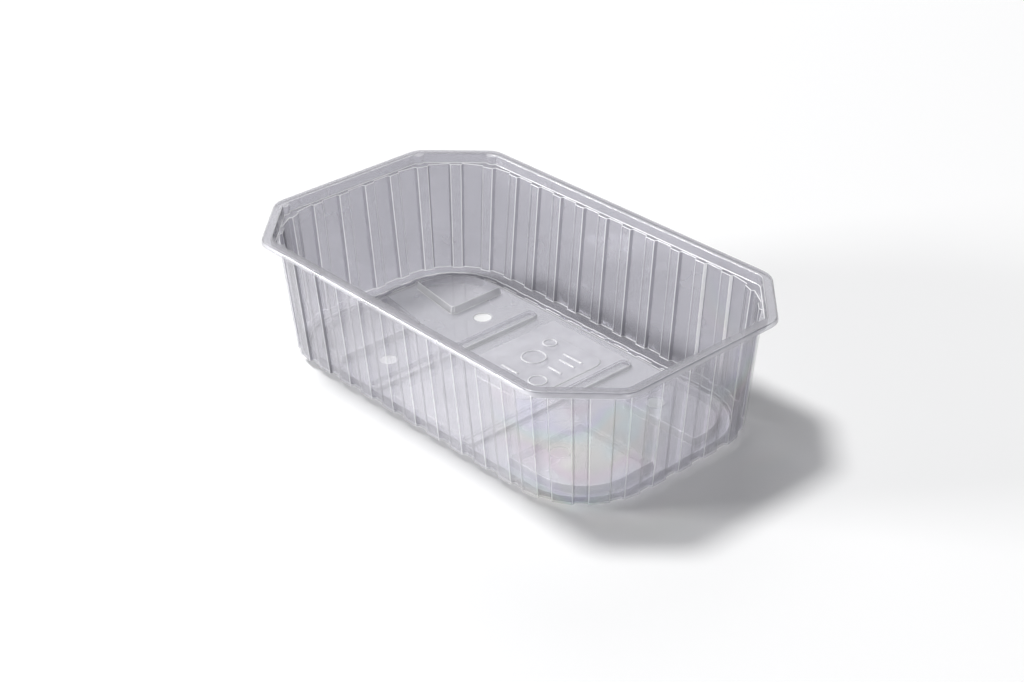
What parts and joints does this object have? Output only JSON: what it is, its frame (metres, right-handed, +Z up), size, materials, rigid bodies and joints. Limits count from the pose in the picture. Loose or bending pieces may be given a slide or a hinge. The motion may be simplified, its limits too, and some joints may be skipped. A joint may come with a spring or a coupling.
{
  "type": "plastic food tray",
  "caption": "Clear thermoformed food tray with fluted walls, a stepped octagonal rim with stacking lugs and a vented, ribbed floor, for soft fruit or salad.",
  "frame": {"origin": "middle of the flat underside that the tray stands on", "axes": "+X along the long side, +Y along the short side, +Z up out of the open top"},
  "size_m": [0.19, 0.115, 0.0505],
  "materials": {
    "clear_plastic": "glossy thin clear sheet with a faint cool lilac-grey tint"
  },
  "bodies": {
    "root": {"tray": "clear_plastic"}
  },
  "joints": []
}
